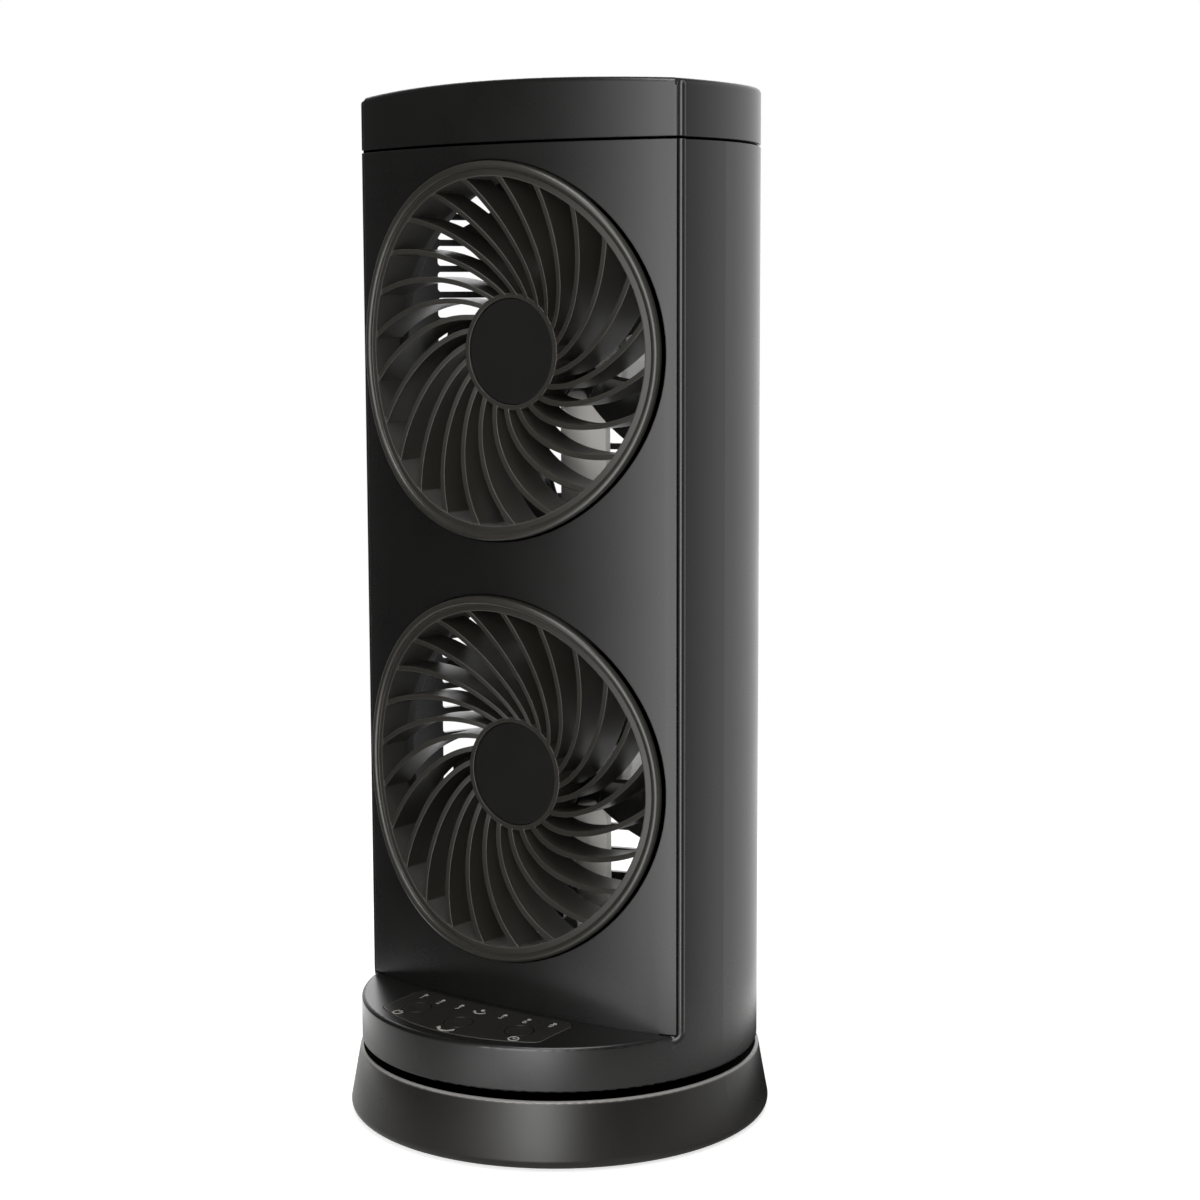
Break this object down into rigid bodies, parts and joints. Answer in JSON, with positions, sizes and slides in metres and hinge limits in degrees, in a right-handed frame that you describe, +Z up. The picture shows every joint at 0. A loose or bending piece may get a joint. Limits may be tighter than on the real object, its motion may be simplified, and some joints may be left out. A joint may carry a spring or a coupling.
{
  "type": "desk tower fan",
  "caption": "Slim desk tower fan: two round swirl-vane grilles one above the other in a bowed front, a control shelf and a round foot on which the tower swings.",
  "frame": {"origin": "centre of the foot's underside, where the rubber feet meet the table", "axes": "+Z up along the swing axis, -Y out of the grilles where the air leaves, +X to the right seen from the front"},
  "size_m": [0.136, 0.136, 0.3265],
  "materials": {
    "shell": "satin, fine grain",
    "base": "satin, fine grain",
    "grille": "satin",
    "hub_cap": "flat matte",
    "impeller": "polished",
    "overlay": "satin film",
    "button": "satin",
    "lens": "milky",
    "rubber": "matte",
    "steel": "zinc plated",
    "motor_can": "plated can",
    "gear": "natural acetal",
    "inner": "moulded, matte",
    "board": "green lacquer",
    "switch": "matte"
  },
  "bodies": {
    "base": {"base_shell": "base", "base_plate": "inner", "rubber_feet": "rubber", "base_screws": "steel", "swivel_post": "inner", "post_screws": "steel", "thrust_washer": "gear", "swing_gear": "gear", "retaining_ring": "steel", "power_inlet": "steel", "inlet_board": "board"},
    "tower": {"casing": "shell", "front_panel": "shell", "panel_screws": "steel", "top_cap": "shell", "turntable": "inner", "turntable_screws": "steel", "control_overlay": "overlay", "control_board": "board", "board_screws": "steel", "tact_switches": "switch", "indicator_lamps": "lens", "indicator_lenses": "lens", "swing_motor_bracket": "inner", "swing_motor": "motor_can", "swing_motor_screws": "steel", "motor_screws": "steel", "mount_screws": "steel", "lower_grille": "grille", "lower_hub_cap": "hub_cap", "lower_shroud": "inner", "lower_motor_mount": "gear", "lower_motor": "motor_can", "upper_grille": "grille", "upper_hub_cap": "hub_cap", "upper_shroud": "inner", "upper_motor_mount": "gear", "upper_motor": "motor_can"},
    "power_button": {"power_button": "button"},
    "swing_button": {"swing_button": "button"},
    "timer_button": {"timer_button": "button"},
    "swing_pinion": {"swing_pinion": "gear"},
    "lower_impeller": {"lower_impeller": "impeller", "lower_motor_shaft": "steel"},
    "upper_impeller": {"upper_impeller": "impeller", "upper_motor_shaft": "steel"}
  },
  "joints": [
    {"name": "swing", "type": "hinge", "parent": "base", "child": "tower", "pos_m": [0, 0, 0.027], "axis": [0, 0, 1], "range_deg": [-45, 45]},
    {"name": "pinion_turn", "type": "hinge", "parent": "tower", "child": "swing_pinion", "pos_m": [0, 0.03, 0.0313], "axis": [0, 0, 1], "range_deg": [-184, 184]},
    {"name": "lower_spin", "type": "hinge", "parent": "tower", "child": "lower_impeller", "pos_m": [0, 0, 0.1124], "axis": [0, 1, 0], "continuous": true},
    {"name": "upper_spin", "type": "hinge", "parent": "tower", "child": "upper_impeller", "pos_m": [0, 0, 0.2449], "axis": [0, 1, 0], "continuous": true},
    {"name": "power_press", "type": "slide", "parent": "tower", "child": "power_button", "axis": [0, 0, -1], "range_m": [0, 0.0006], "stiffness_N_per_m": 600},
    {"name": "swing_press", "type": "slide", "parent": "tower", "child": "swing_button", "axis": [0, 0, -1], "range_m": [0, 0.0006], "stiffness_N_per_m": 600},
    {"name": "timer_press", "type": "slide", "parent": "tower", "child": "timer_button", "axis": [0, 0, -1], "range_m": [0, 0.0006], "stiffness_N_per_m": 600}
  ],
  "couplings": [
    {"joint": "pinion_turn", "follows": "swing", "ratio": 4}
  ]
}
